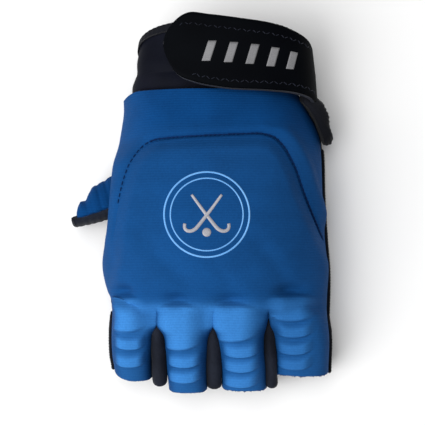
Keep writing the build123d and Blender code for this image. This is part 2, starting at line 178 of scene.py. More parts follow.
class Nodes:
    """Writes a node tree in a few lines."""

    def __init__(self, name):
        self.mat = bpy.data.materials.new(name)
        self.mat.use_nodes = True
        self.tree = self.mat.node_tree
        self.bsdf = self.tree.nodes["Principled BSDF"]

    def node(self, kind, **settings):
        n = self.tree.nodes.new("ShaderNode" + kind)
        for key, value in settings.items():
            if key in n.inputs:
                n.inputs[key].default_value = value
            else:
                setattr(n, key, value)
        return n

    def link(self, a, out, b, into):
        self.tree.links.new(a.outputs[out], b.inputs[into])

    def texture(self, kind, stretch=(1, 1, 1), **settings):
        """A texture laid out by the object's own coordinates."""
        texture = self.node(kind, **settings)
        mapping = self.node("Mapping", Scale=stretch)
        self.link(self.node("TexCoord"), "Object", mapping, "Vector")
        self.link(mapping, 0, texture, "Vector")
        return texture

    def ramp(self, source, *stops):
        """Colours for a texture's value, from two (value, colour) stops."""
        r = self.node("ValToRGB")
        for element, (position, color) in zip(r.color_ramp.elements, stops):
            element.position = position
            element.color = color
        self.link(source, "Fac", r, "Fac")
        return r

    def mix(self, a, b, fac, mode="MIX"):
        """Mixes two colour outputs (node, socket) or constants; fac is a number or (node, socket)."""
        m = self.node("Mix", data_type="RGBA", blend_type=mode)
        for key, value in ((6, a), (7, b), (0, fac)):
            if isinstance(value, tuple) and isinstance(value[0], bpy.types.Node):
                self.link(*value, m, key)
            else:
                m.inputs[key].default_value = value
        return (m, 2)

    def color(self, source):
        self.link(*source, self.bsdf, "Base Color")

    def bumps(self, *layers):
        """layers: (texture, strength, distance in mm)."""
        last = None
        for texture, strength, distance in layers:
            b = self.node("Bump", Strength=strength, Distance=distance * MM)
            self.link(texture, "Fac", b, "Height")
            if last:
                self.link(last, "Normal", b, "Normal")
            last = b
        self.link(last, "Normal", self.bsdf, "Normal")

    def finish(self, **values):
        for key, value in values.items():
            self.bsdf.inputs[key.replace("_", " ")].default_value = value
        return self.mat


def blue_knit():
    """Fine-ribbed blue jersey laminated over foam."""
    m = Nodes("blue_knit")
    cloud = m.texture("TexNoise", Scale=34, Detail=3, Roughness=0.55)
    lines = m.texture("TexWave", Scale=250, Distortion=5.0, Detail=2, bands_direction="Y")
    lines.inputs["Detail Scale"].default_value = 0.16
    loops = m.texture("TexNoise", (1, 0.45, 1), Scale=1500, Detail=2)
    tone = m.ramp(cloud, (0.3, srgb(9, 54, 103)), (0.72, srgb(12, 65, 121)))
    shade = m.ramp(lines, (0.0, (0.82, 0.82, 0.84, 1)), (1.0, (1.06, 1.06, 1.06, 1)))
    fleck = m.ramp(loops, (0.3, (0.86, 0.86, 0.88, 1)), (0.7, (1.1, 1.1, 1.1, 1)))
    # the knit is painted paler over what stands out most and faces up: partly its stretch, partly a painted
    # highlight; the little-finger side and the wrist end stay darker as painted shade
    stretch_and_highlight = m.node("Attribute", attribute_name="stretch")
    c = m.mix((tone, 0), srgb(58, 126, 196), (stretch_and_highlight, "Fac"))
    c = m.mix(c, (shade, 0), 0.4, "MULTIPLY")
    c = m.mix(c, (fleck, 0), 0.6, "MULTIPLY")
    m.color(c)
    m.bumps((lines, 0.3, 0.2), (loops, 0.35, 0.12))
    return m.finish(
        Roughness=0.8, Specular_IOR_Level=0.1, Specular_Tint=srgb(120, 180, 255),
        Sheen_Weight=0.02, Sheen_Roughness=0.4, Sheen_Tint=srgb(60, 140, 235),
    )


def cloth(name, low, high, scale, rough=0.8, bump=0.25, sheen=0.05, stretch=(1, 1, 1), gloss=0.12):
    """A matt cloth with thread-sized grain and a slow change of tone from low to high."""
    m = Nodes(name)
    patches = m.texture("TexNoise", Scale=45, Detail=2)
    grain = m.texture("TexNoise", stretch, Scale=scale, Detail=3, Roughness=0.6)
    tone = m.ramp(patches, (0.3, srgb(*low)), (0.7, srgb(*high)))
    speck = m.ramp(grain, (0.3, (0.7, 0.7, 0.72, 1)), (0.72, (1.25, 1.25, 1.25, 1)))
    m.color(m.mix((tone, 0), (speck, 0), 0.8, "MULTIPLY"))
    m.bumps((grain, bump, 0.25))
    return m.finish(Roughness=rough, Specular_IOR_Level=gloss, Sheen_Weight=sheen, Sheen_Roughness=0.5)


def floor_white():
    m = Nodes("floor_white")
    cloud = m.texture("TexNoise", Scale=3, Detail=2)
    m.color((m.ramp(cloud, (0.0, (0.891, 0.891, 0.891, 1)), (1.0, (0.9, 0.9, 0.9, 1))), 0))
    return m.finish(Roughness=0.9)


BLUE = blue_knit()
FOAM_EDGE = cloth("foam_edge", (6, 44, 102), (18, 78, 156), 900, 0.9, 0.9)
LINING = cloth("lining", (22, 24, 30), (32, 34, 42), 1100, 0.9, 0.4, 0.1)
BLACK_KNIT = cloth("black_knit", (19, 22, 31), (34, 39, 51), 1100, 0.82, 0.8, 0.04, (1, 0.5, 1))
NEOPRENE = cloth("neoprene", (9, 11, 20), (16, 18, 29), 1900, 0.62, 0.18, 0.0, gloss=0.05)
STRAP = cloth("strap_laminate", (2, 3, 6), (4, 6, 10), 2200, 0.6, 0.2, 0.0, gloss=0.03)
# the strap's rim: its edge binding, painted much lighter than the strap's face as a painted highlight
STRAP_EDGE_AND_HIGHLIGHT = cloth("strap_edge_and_highlight", (24, 27, 36), (36, 39, 50), 1500, 0.6, 0.4)
EDGING = cloth("overlock_edging", (6, 7, 12), (18, 20, 28), 900, 0.8, 0.9, stretch=(1, 3, 1))
THREAD = cloth("thread", (22, 25, 36), (40, 44, 58), 2500, 0.5, 0.4)
BLUE_THREAD = cloth("blue_thread", (3, 28, 66), (6, 42, 90), 2500, 0.9, 0.4, 0.0)
SUEDE = cloth("palm_suede", (24, 24, 29), (40, 40, 46), 1700, 0.92, 0.55, 0.2)
LOOP_PILE = cloth("loop_pile", (18, 19, 25), (38, 40, 48), 1600, 1.0, 1.0, 0.2)
HOOKS = cloth("hook_plastic", (14, 14, 17), (26, 26, 30), 1400, 0.4, 0.9, 0.0)
PRINT_GREY = cloth("grey_print", (112, 112, 114), (132, 132, 134), 2600, 0.5, 0.12, 0.0, gloss=0.3)
SILVER = cloth("silver_print", (142, 142, 148), (172, 170, 176), 2600, 0.38, 0.12, 0.0, gloss=0.5)
PALE_BLUE = cloth("pale_blue_print", (96, 158, 220), (122, 182, 238), 2600, 0.45, 0.12, 0.0)


# ---------- mesh building
def make(name, verts, faces, mats, face_mats=None, uvs=None, normals=None):
    """A mesh object from points in mm. uvs is one (u, v) in metres per point."""
    mesh = bpy.data.meshes.new(name)
    verts = np.asarray(verts, float) * MM
    mesh.from_pydata(verts.tolist(), [], [tuple(int(i) for i in f) for f in faces])
    for mat in mats:
        mesh.materials.append(mat)
    if face_mats is not None:
        mesh.polygons.foreach_set("material_index", np.asarray(face_mats, np.int32))
    mesh.polygons.foreach_set("use_smooth", np.ones(len(mesh.polygons), bool))
    loops = np.zeros(len(mesh.loops), np.int32)
    mesh.loops.foreach_get("vertex_index", loops)
    flat = verts[:, :2] if uvs is None else np.asarray(uvs, float)
    mesh.uv_layers.new(name="UVMap").data.foreach_set("uv", flat[loops].astype(np.float32).ravel())
    mesh.update()
    if normals is not None:
        mesh.normals_split_custom_set_from_vertices(np.asarray(normals, float).tolist())
    obj = bpy.data.objects.new(name, mesh)
    bpy.context.scene.collection.objects.link(obj)
    return obj


def grid_faces(rows, cols, base=0, wrap=False, flip=False):
    """Faces of a grid whose points are numbered row by row from base."""
    faces = []
    for r in range(rows - 1):
        for c in range(cols if wrap else cols - 1):
            near, far = base + r * cols, base + (r + 1) * cols
            d = (c + 1) % cols
            q = (near + c, near + d, far + d, far + c)
            faces.append(q[::-1] if flip else q)
    return faces


def tube_faces(rows, sides, flip=False):
    """Faces of a closed tube whose rings are numbered one after the other."""
    first = tuple(range(sides))
    last = tuple((rows - 1) * sides + c for c in range(sides))
    ends = [first, last[::-1]] if flip else [first[::-1], last]
    return grid_faces(rows, sides, 0, True, flip) + ends


def lengths(P):
    """UVs of a grid: distance across and distance along, in metres."""
    across = run_of(P, 1)
    across -= across[:, [P.shape[1] // 2]]
    return np.stack([across, run_of(P)], 2).reshape(-1, 2) * MM


def rim_of(rows, cols):
    """The (row, column) places once round a grid's border."""
    edge = [(rows - 1, c) for c in range(cols)] + [(r, cols - 1) for r in range(rows - 2, -1, -1)]
    return edge + [(0, c) for c in range(cols - 2, -1, -1)] + [(r, 0) for r in range(1, rows - 1)]


RIM_STEPS = 4  # faces across a shell's rim


def shell(name, outer, inner, mats, wrap=False, bulge=0.5, normals=None, fray=0.0, stretch=None):
    """A closed thick shell between two grids, with rounded rims.
    mats: outside, inside, rims. stretch: how much paler the outside's knit is painted, 0 to 1: partly its
    stretch, partly painted highlight and shade."""
    rows, cols = outer.shape[:2]
    count = rows * cols
    verts = [outer.reshape(-1, 3), inner.reshape(-1, 3)]
    uv = lengths(outer)
    uvs = [uv, uv]
    faces = grid_faces(rows, cols, 0, wrap) + grid_faces(rows, cols, count, wrap, flip=True)
    kinds = [0] * (len(faces) // 2) + [1] * (len(faces) // 2)
    if wrap:
        rims = [[(0, c) for c in range(cols)][::-1], [(rows - 1, c) for c in range(cols)]]
    else:
        rims = [rim_of(rows, cols)]
    total = 2 * count
    for rim in rims:
        r, c = np.array(rim).T
        ri = np.clip(r, 1, rows - 2)
        ci = c if wrap else np.clip(c, 1, cols - 2)
        a, b = outer[r, c], inner[r, c]
        away = unit((a - outer[ri, ci]) + (b - inner[ri, ci]))
        thick = np.linalg.norm(a - b, axis=1, keepdims=True)
        previous = r * cols + c
        for k in range(1, RIM_STEPS + 1):
            if k == RIM_STEPS:
                current = count + r * cols + c
            else:
                t = k / RIM_STEPS
                rim_points = a * (1 - t) + b * t + away * thick * bulge * math.sin(math.pi * t)
                if fray:
                    rim_points = rim_points + away * rng.normal(0, fray, (len(rim), 1))
                verts.append(rim_points)
                uvs.append(uv[r * cols + c] + t * thick * MM)
                current = total + np.arange(len(rim))
                total += len(rim)
            for i in range(len(rim)):
                j = (i + 1) % len(rim)
                faces.append((previous[j], previous[i], current[i], current[j]))
                kinds.append(2)
            previous = current
    verts = np.vstack(verts)
    if normals is not None:
        full = np.zeros_like(verts)
        full[:count] = normals.reshape(-1, 3)
        normals = full
    piece = make(name, verts, faces, mats, kinds, np.vstack(uvs), normals)
    # the stretch attribute holds the knit's stretch tone with painted highlight and painted shade mixed in
    if stretch is not None:
        values = np.zeros(len(verts), np.float32)
        values[:count] = stretch.ravel()
        piece.data.attributes.new("stretch", "FLOAT", "POINT").data.foreach_set("value", values)
    return piece


# a tube's round end: (how far along the end, share of the full radius)
END_STEPS = [(0.0, 0.35), (0.35, 0.8), (0.8, 1.0)]


def tube(path, radius, sides=10, up=(0, 0, 1)):
    """A round tube along points in mm, with rounded ends, as (verts, faces)."""
    path = np.asarray(path, float)
    radius = np.broadcast_to(np.asarray(radius, float), (len(path),))
    tangent = unit(np.gradient(path, axis=0))
    side = unit(np.cross(tangent, np.asarray(up, float)))
    lift = np.cross(side, tangent)
    back = END_STEPS[::-1]
    head = [path[0] - tangent[0] * radius[0] * (1 - a) for a, _ in END_STEPS]
    tail = [path[-1] + tangent[-1] * radius[-1] * (1 - a) for a, _ in back]
    path = np.vstack([head, path, tail])
    first, last = [radius[0] * s for _, s in END_STEPS], [radius[-1] * s for _, s in back]
    radius = np.concatenate([first, radius, last])
    side, lift = (np.vstack([v[:1]] * 3 + [v] + [v[-1:]] * 3) for v in (side, lift))
    angle = turns(sides)[:, None]
    spokes = side[:, None] * np.cos(angle) + lift[:, None] * np.sin(angle)
    P = path[:, None] + radius[:, None, None] * spokes
    return P.reshape(-1, 3), tube_faces(len(path), sides, flip=True)


def slab(top, low):
    """A closed thin block between two grids, as (verts, faces)."""
    rows, cols = top.shape[:2]
    m = rows * cols
    faces = grid_faces(rows, cols) + grid_faces(rows, cols, m, flip=True)
    rim = [r * cols + c for r, c in rim_of(rows, cols)]
    for a, b in zip(rim, rim[1:] + rim[:1]):
        faces.append((a, b, b + m, a + m))
    return np.vstack([top.reshape(-1, 3), low.reshape(-1, 3)]), faces


def merge(name, parts, mat):
    """One mesh object from several (verts, faces)."""
    verts, faces, base = [], [], 0
    for v, f in parts:
        verts.append(v)
        faces += [tuple(i + base for i in q) for q in f]
        base += len(v)
    return make(name, np.vstack(verts), faces, [mat])


def stitches(path, up, length, gap, radius, sink, slant=0.0):
    """Thread stitches along a path on a surface: short rounded bars, bowed up a little."""
    run = run_of(path)
    parts = []
    at = gap / 2
    while at + length < run[-1]:
        middle = at + length / 2
        p = at_run(path, run, np.array([at, middle, at + length]))
        normal = unit(at_run(up, run, middle))
        across = unit(np.cross(normal, p[2] - p[0]))
        p = p + across * np.array([[-slant], [0], [slant]])
        p = p + normal * np.array([[-sink], [radius * 0.8], [-sink]])
        parts.append(tube(p, radius, 6, normal))
        at += length + gap
        slant = -slant
    return parts


def overlock(path, radius, wave=0.16, pitch=1.5):
    """A soft edge wound with thread: a tube whose radius swells at every turn."""
    run = run_of(path)
    at = np.linspace(0, run[-1], int(run[-1] / 0.45))
    return tube(at_run(path, run, at), radius * (1 + wave * np.sin(at * 2 * math.pi / pitch)))


SWELL_FRAMES = 14


def inflate(obj, sewn, pressure, cap):
    """Lets a closed padded piece swell between its stitches by cloth simulation.
    sewn: the vertices that stitches hold. No point moves further than cap mm."""
    mesh = obj.data
    before = np.zeros(len(mesh.vertices) * 3)
    mesh.vertices.foreach_get("co", before)
    obj.vertex_groups.new(name="sewn").add([int(i) for i in sewn], 1.0, "REPLACE")
    modifier = obj.modifiers.new("swell", "CLOTH")
    settings = dict(
        quality=6, mass=0.001, tension_stiffness=6, bending_stiffness=0.1, vertex_group_mass="sewn",
        use_pressure=True, uniform_pressure_force=pressure,
    )
    for key, value in settings.items():
        setattr(modifier.settings, key, value)
    modifier.settings.effector_weights.gravity = 0
    modifier.point_cache.frame_end = SWELL_FRAMES
    for number in range(1, SWELL_FRAMES + 1):
        bpy.context.scene.frame_set(number)
    after = np.zeros(len(before))
    obj.evaluated_get(bpy.context.evaluated_depsgraph_get()).data.vertices.foreach_get("co", after)
    move = np.nan_to_num(after - before).reshape(-1, 3)
    move *= np.minimum(1, cap * MM / np.maximum(np.linalg.norm(move, axis=1, keepdims=True), 1e-12))
    obj.modifiers.remove(modifier)
    bpy.context.scene.frame_set(1)
    mesh.vertices.foreach_set("co", (before.reshape(-1, 3) + move).ravel())
    mesh.update()


# ---------- the blue back and fingers
# All numbers below are millimetres in the frame: x to the little-finger side, y to the wrist.
# The back's two sides in plan and its crown, as (y, x) and (y, z)
LEFT = [
    (54, -47.0), (48, -47.0), (40, -47.8), (13, -51.2), (-12, -53.2), (-22, -55), (-31, -57.2), (-42, -56.0),
    (-53, -52.6), (-61, -52),
]
RIGHT = [(54, 47.0), (46, 50.2), (36, 53.2), (24, 54.5), (4, 55), (-21, 56.4), (-34, 57.4), (-61, 57)]
CROWN = [(54, 38), (44, 41.6), (30, 45), (10, 49), (-10, 51.3), (-30, 51.6), (-48, 48.5), (-61, 46)]
BACK_END, SPLIT_Y = 54.0, -58.0
BASE_Z = 2.2
VALLEYS = (-28.5, -0.6, 26.0)
# For each finger, (y, xl, xr, zl, zr, crown) from the split to the tip
FINGERS = {
    "index": [
        (-58, -52.1, -28.5, 2.2, 38.6, 39.5), (-62.5, -52, -28.9, 9, 36, 38.4),
        (-66, -51.8, -30.6, 14.5, 28, 37), (-72, -51.6, -31.4, 17.5, 23.5, 35),
        (-80, -51.3, -31.6, 15.5, 17.5, 31), (-89.5, -50.6, -31.4, 12, 12.5, 25.5),
    ],
    "middle": [
        (-58, -28.5, -0.6, 38.6, 43.8, 46.6), (-62.5, -28.2, -1.0, 36, 40.5, 46),
        (-66, -25.8, -2.6, 29, 33, 44.5), (-74, -24.6, -3.3, 22, 23.5, 40.5),
        (-84, -24.2, -3.6, 17, 17, 34.5), (-95.2, -23.2, -3.8, 13.5, 13.5, 27.5),
    ],
    "ring": [
        (-58, -0.6, 26.0, 43.8, 38.8, 46.6), (-62.5, -0.6, 25.2, 40.5, 33.6, 46),
        (-66, 0.6, 24.6, 33, 27.2, 44.5), (-74, 2.0, 24.6, 23.5, 21, 40.5),
        (-84, 2.8, 25.8, 17, 16, 34), (-94.4, 3.4, 26.2, 13.5, 13.5, 26.8),
    ],
    "little": [
        (-58, 26.0, 57.0, 38.8, 2.2, 39.9), (-62.5, 27.2, 57.0, 33.6, 9, 38.6),
        (-66, 28.4, 57.0, 26.4, 14.5, 37.2), (-72, 29.6, 57.0, 22, 17.5, 35.5),
        (-79, 30.0, 57.1, 17, 15.5, 32), (-87, 29.4, 57.2, 13, 13, 27),
    ],
}
NAMES = tuple(FINGERS)
TIPS = {name: FINGERS[name][-1][0] for name in NAMES}
TIP_SLANT = {"index": 4.2}  # how far the cut end slants back on its outer half
COLUMNS = {"index": 92, "middle": 68, "ring": 70, "little": 98}
# Moulded relief on each finger: knuckle block's centre x, half width, its wrist edge and finger edge,
# the ribs' centre x, half width and y, how much they curl, and the hollow's y behind the block
RELIEF = {
    "index": (-44.0, 8.8, -47.4, -66.0, -42.0, 6.4, (-71.0, -79.6), 0.6, -45.6),
    "middle": (-18.0, 9.8, -51.4, -74.6, -15.6, 7.8, (-79.4, -87.2), 0.8, -49.9),
    "ring": (8.2, 11.0, -51.6, -70.4, 12.2, 8.2, (-74.4, -81.8, -89.6), 0.8, -50.0),
    "little": (36.8, 10.6, -46.8, -60.8, 38.8, 7.8, (-65.0, -73.4, -81.0), 0.8, -45.2),
}
PAD_HEIGHT, GROOVE_DEPTH, HOLLOW_DEPTH, BLOCK_HEIGHT, RIB_HEIGHT = 3.2, 1.8, 3.8, 2.2, 2.0
PAD = rounded([
    (-51, -30), (-48.5, -8), (-47, 0), (-45.2, 8), (-42.4, 16), (-38, 23.2), (-34.5, 26.8), (-29, 29.2),
    (-12, 30.2), (10, 31.2), (23, 31.8), (29.5, 30.0), (34.5, 24.6), (39.5, 15), (43.6, 3), (48, -7.5),
    (53.5, -18.5), (60, -30), (60, -60), (-60, -60),
], 260, 3)


def hand_base_z(y):
    """The blue's lower edge on the thumb side, lifted where the thumb comes out."""
    return BASE_Z + 25.0 * ease(-33, -18, y) * ease(31, 15, y)


def finger_at(name, y):
    """xl, xr, zl, zr and crown of a finger at y."""
    return [curve([(s[0], s[i]) for s in FINGERS[name]], y) for i in range(1, 6)]


def group_section(name, y, fractions):
    """Cross-section of one finger's share of the back at y, as (x, z)."""
    fingers = resample(arch(*finger_at(name, y)), fractions)
    if y <= SPLIT_Y:
        return fingers
    full = arch(curve(LEFT, y), curve(RIGHT, y), hand_base_z(y), BASE_Z, curve(CROWN, y), 160)
    run = run_of(full)
    cuts = [0.0] + [float(np.interp(v, full[:, 0], run)) for v in VALLEYS] + [run[-1]]
    k = NAMES.index(name)
    hand = at_run(full, run, cuts[k] + (cuts[k + 1] - cuts[k]) * fractions)
    # the outer half of the index knuckle rises sooner, so its block starts on a slant
    sooner = 5.5 * ease(0.85, 0.4, fractions) if name == "index" else 0.0
    w = np.broadcast_to(ease(-52, -58, y - sooner), len(hand))[:, None]
    return hand * (1 - w) + fingers * w


def dent(x, y, start, end, depth, width):
    """A long soft dent in the foam from start to end."""
    along = np.subtract(end, start)
    length = np.linalg.norm(along)
    u = ((x - start[0]) * along[0] + (y - start[1]) * along[1]) / length**2
    v = ((x - start[0]) * along[1] - (y - start[1]) * along[0]) / length
    return depth * bell(v, 0, width) * ease(-0.2, 0.25, u) * ease(1.15, 0.75, u)


def pad_relief(x, y):
    """Height of the raised pad and of the groove and swelling round it."""
    d = outline_distance(x, y, PAD)
    deep = 0.35 + 0.65 * ease(-40, -29, x)
    h = PAD_HEIGHT * ease(0.2, 9.0, d) * ease(-60, -34, y)
    h = h - GROOVE_DEPTH * deep * bell(d, 0.1, 0.7) * ease(-24, -12, y)
    right = ease(26, 38, x)
    swell = 0.3 + (0.8 * deep + 1.8 * right) * (0.25 + 0.75 * np.maximum(ease(30, 16, y), ease(20, 30, x)))
    h = h + swell * bell(d, -3.2 - 1.6 * right, 2.5 + 1.2 * right) * ease(-20, -5, y)
    h = h - dent(x, y, (-37, -17), (-9, -46), 1.3, 4.4) - dent(x, y, (18, -20), (36, -43), 1.0, 4.6)
    h = h - dent(x, y, (-4, -27), (10, -45), 0.6, 4.0)
    return h + 0.16 * np.sin(y * 0.5 + 1.4 * np.sin(x * 0.07)) * ease(6, 12, d) * ease(-32, -20, y)


def knuckle_relief(x, y):
    """Height of the knuckle blocks, the hollows behind them and the ribs."""
    h = np.zeros(x.shape)
    for cx, half, y_top, y_end, rib_x, rib_half, ribs, curl, y_hollow in RELIEF.values():
        s = (x - cx) / half
        h = h - HOLLOW_DEPTH * bell(y, y_hollow + 0.3, 3.3) * bell(s, -0.05, 0.62)
        lobe_line = y_end + 3.0 * curl * s * s
        corner = y_top - 1.6 * s * s
        lobe = ease(1.3, -1.3, y - corner) * ease(-0.3, 2.4, y - lobe_line)
        h = h + BLOCK_HEIGHT * lobe * ease(1.35, 0.35, np.abs(s))
        s = (x - rib_x) / rib_half
        for y_rib in ribs:
            q = y - (y_rib + 2.2 * curl * s * s)
            rib = ease(-3.6, -2.0, q) * ease(4.0, 1.2, q)
            h = h + RIB_HEIGHT * rib * ease(1.3, 0.5, np.abs(s))
    return h


def build_rows(name, ys):
    """Smooth base points of one finger's share of the back at these rows."""
    fractions = np.linspace(0, 1, COLUMNS[name])
    return np.array([stand(group_section(name, y, fractions), y) for y in map(float, ys)])


def dress(P):
    """Adds the relief to a base grid along its own normals."""
    x, y, z = P[..., 0], P[..., 1], P[..., 2]
    n = normals_of(P)
    h = pad_relief(x, y) * ease(6, 20, z) + knuckle_relief(x, y) * ease(0.12, 0.62, n[..., 2])
    wobble = 0.25 * np.sin(x * 0.21 + 1.3) * np.sin(y * 0.17 + 0.6)
    return P + n * (h + wobble)[..., None]


def stretch_and_highlight_of(P):
    """How much paler the knit is painted, partly for its stretch and partly as painted light: most on the
    blocks, ribs and webs and on faces that turn up (painted highlight), less on the little-finger side and
    least at the wrist end (painted shade).
    """
    x, y = P[..., 0], P[..., 1]
    raised = np.clip(knuckle_relief(x, y) / BLOCK_HEIGHT, 0, 1)
    web = 0.34 * ease(-49.5, -54, y) * ease(-70, -60, y) * ease(26, 10, x)
    on_raised = (0.62 + 0.12 * ease(6, -12, x)) * raised
    pulled = np.clip(web * (1 - raised) + 0.22 * ease(-46, -54, y) + on_raised, 0, 1)
    # painted highlight: faces that turn up are painted paler
    facing = ease(0.3, 0.85, normals_of(P)[..., 2])
    # painted shade: the little-finger side is painted less pale
    less = 1 - 0.45 * ease(22, 34, x)
    # painted shade: the wrist end away from the thumb side gets no base paleness
    back = 0.09 * (1 - ease(22, 42, y) * ease(-52, -28, x))
    return back + (1 - back) * pulled * facing * less


# two rows past the split are built on both sides of it for their normals, then dropped
EXTRA = np.array([0.5, 1.0])
hand_ys = np.concatenate([np.linspace(BACK_END, SPLIT_Y, 230), SPLIT_Y - EXTRA])
parts = [build_rows(name, hand_ys[::-1]) for name in NAMES]
hand_base = np.concatenate([parts[0]] + [p[:, 1:] for p in parts[1:]], axis=1)
# the rear corners are rounded in plan
fraction = np.linspace(0, 1, hand_base.shape[1])
corner = 2.5 * ease(0.2, 0.05, fraction) + 6.0 * ease(0.78, 0.98, fraction)
hand_base[..., 1] -= corner[None, :] * ease(28, BACK_END, hand_base[..., 1])
hand_outer = dress(hand_base)
thick = curve([(BACK_END, 2.2), (44, 3.6), (20, 5.2), (SPLIT_Y, 5.0)], hand_base[..., 1])
hand_inner = (hand_base - normals_of(hand_base) * thick[..., None])[2:]
hand_normals, hand_outer = normals_of(hand_outer)[2:], hand_outer[2:]
BLUE_LAYERS = [BLUE, LINING, FOAM_EDGE]
back_shell = shell(
    "back_shell", hand_outer, hand_inner, BLUE_LAYERS, bulge=0.25, normals=hand_normals,
    stretch=stretch_and_highlight_of(hand_base)[2:],
)
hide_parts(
    "back_cover", "back_foam", "back_liner", "dorsal_pad", "knuckle_pad_index",
    "knuckle_pad_middle", "knuckle_pad_ring", "knuckle_pad_little",
)
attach(back_shell, "hand")

first_column = 0
finger_outer = {}
for name in NAMES:
    cols, tip = COLUMNS[name], TIPS[name]
    ys = np.concatenate([SPLIT_Y + EXTRA[::-1], np.linspace(SPLIT_Y, tip, 84)])
    base = build_rows(name, ys[::-1])
    # the cut end bows out in the middle of the finger
    s = np.linspace(-1, 1, cols)
    bow = 1.6 * (1 - s**2) - TIP_SLANT.get(name, 0.0) * ease(0.1, -1, s)
    base[..., 1] -= (bow[None, :] - 1.2) * ease(tip + 14, tip, base[..., 1])
    thick = curve([(SPLIT_Y, 5.0), (-68, 3.4), (tip, 3.0)], base[..., 1])
    outer, inner = dress(base), base - normals_of(base) * thick[..., None]
    # paleness of the knit: its stretch tone with painted highlight and painted shade
    pale = stretch_and_highlight_of(base)
    outer, inner, normals, pale = (grid[:-2] for grid in (outer, inner, normals_of(outer), pale))
    # its last row is the back's own first row
    for grid, hand in ((normals, hand_normals), (outer, hand_outer), (inner, hand_inner)):
        grid[-1] = hand[0, first_column : first_column + cols]
    first_column += cols - 1
    finger_outer[name] = outer
    bulge, fray = (0.3, 0.3) if name in ("ring", "little") else (0.35, 0.06)
    piece = shell(f"{name}_shell", outer, inner, BLUE_LAYERS, False, bulge, normals, fray, pale)
    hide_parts(f"{name}_cover", f"{name}_foam", f"{name}_ribs")
    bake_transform(piece)


# ---------- black undersides of the fingers
def sleeve_section(name, y):
    """The underside of a finger at y, from its left seam under the finger to its right seam, as (x, z)."""
    xl, xr, zl, zr, _ = (float(value) for value in finger_at(name, y))
    w = float(ease(-52, -66, y))
    edges = [curve(LEFT, y), *VALLEYS, curve(RIGHT, y)]
    k = NAMES.index(name)
    x0, x1 = edges[k] * (1 - w) + (xl + 0.3) * w, edges[k + 1] * (1 - w) + (xr - 0.3) * w
    z0, z1 = 2.0 * (1 - w) + zl * w, 2.0 * (1 - w) + zr * w
    return resample(arch(x0, x1, z0, z1, 1.0 + 0.6 * w), np.linspace(0, 1, 40))


for name in NAMES:
    tip = TIPS[name] + 1.0
    P = np.array([stand(sleeve_section(name, y), y) for y in np.linspace(-50.5, tip, 44)])
    slant = TIP_SLANT.get(name, 0.0) * ease(0.1, -1, np.linspace(-1, 1, P.shape[1]))
    P[..., 1] += slant[None, :] * ease(tip + 14, tip, P[..., 1])
    x, y, z = P[..., 0], P[..., 1], P[..., 2]
    crease = 0.35 * np.sin(y * 1.15 + 0.3 * x) * ease(-52, -58, y) * ease(tip + 4, tip + 12, y)
    n = normals_of(P)
    outside = P + n * (crease * np.clip(1 - z / 25, 0, 1))[..., None]
    piece = shell(f"{name}_underside", outside, P - n * 1.3, [BLACK_KNIT, LINING, EDGING], bulge=0.6)
    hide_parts(f"{name}_sleeve")
    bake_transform(piece)

# Padded strips between the fingers: x and width at the knuckle and at the tip, y of both ends,
# the finger each is sewn to, and the height of its top at both ends
ROLLS = {
    "fourchette_index_middle": ((-28.4, -27.6), (6.2, 7.4), (-59.5, -93.0), "middle", (37.5, 21.0)),
    "fourchette_middle_ring": ((-1.1, -0.4), (4.6, 7.8), (-61.0, -94.2), "ring", (41.5, 22.0)),
    "fourchette_ring_little": ((25.6, 28.4), (5.4, 6.2), (-57.8, -93.8), "ring", (37.0, 22.0)),
}
ROLL_ROWS, ROLL_SIDES = 72, 32
for name, (xs, widths, (y0, y1), finger, tops) in ROLLS.items():
    t = np.linspace(0, 1, ROLL_ROWS)
    y = y0 + 6 + (y1 - y0 - 6) * t
    taper = np.sqrt(np.clip(1 - ((t - 0.93) / 0.07).clip(0, 1) ** 2.2, 0.004, 1))
    half = (widths[0] + (widths[1] - widths[0]) * ease(0, 0.5, t)) / 2 * (0.35 + 0.65 * taper)
    half = half + 0.12 * np.sin(t * 21 + xs[0])
    height = (17 - 3 * t) / 2 * (0.55 + 0.45 * taper)
    top = tops[0] + (tops[1] - tops[0]) * t**1.25 - 9.0 * ease(0.14, 0.0, t)
    centre_x = xs[0] + (xs[1] - xs[0]) * t
    angle = turns(ROLL_SIDES)
    P = np.zeros((ROLL_ROWS, ROLL_SIDES, 3))
    P[..., 0] = centre_x[:, None] + half[:, None] * squared(np.cos(angle), 0.8)
    P[..., 1] = y[:, None]
    P[..., 2] = (top - height)[:, None] + height[:, None] * squared(np.sin(angle), 0.85)
    piece = make(name + "_roll", P.reshape(-1, 3), tube_faces(ROLL_ROWS, ROLL_SIDES), [BLACK_KNIT])
    seams = (0, ROLL_SIDES // 2, ROLL_SIDES // 4)
    held = [r * ROLL_SIDES + c for r in range(2, ROLL_ROWS - 4, 5) for c in seams]
    inflate(piece, held + list(range(ROLL_SIDES)), pressure=300.0, cap=0.7)
    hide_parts(name)
    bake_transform(piece)

# ---------- palm and side edges
PALM_LOW, PALM_TOP = 0.15, 2.0
cols, rows = 60, 70
plan = np.zeros((rows, cols, 3))
for r, y in enumerate(np.linspace(-50.5, 53.5, rows)):
    plan[r, :, 0] = np.linspace(curve(LEFT, y) + 2.2, curve(RIGHT, y) + 0.4, cols)
    plan[r, :, 1] = y
palm = shell("palm", plan + [0, 0, PALM_TOP], plan + [0, 0, PALM_LOW], [LINING, SUEDE, EDGING], bulge=0.3)
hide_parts("palm_panel")
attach(palm, "hand")


def side_edge(side, start):
    """The line of a side's overlocked edge, from y at start to the fingers."""
    ys = np.arange(start, SPLIT_Y, -0.7)
    if side > 0:
        return np.stack([curve(RIGHT, ys) + 0.5, ys, np.full(len(ys), 2.8)], 1)
    # it comes out from under the blue beside the index finger
    showing = ease(-53.5, SPLIT_Y, ys)
    xs = curve(LEFT, ys) + 2.4 - 2.8 * showing
    return np.stack([xs, ys, hand_base_z(ys) + 0.2 + 0.4 * showing], 1)


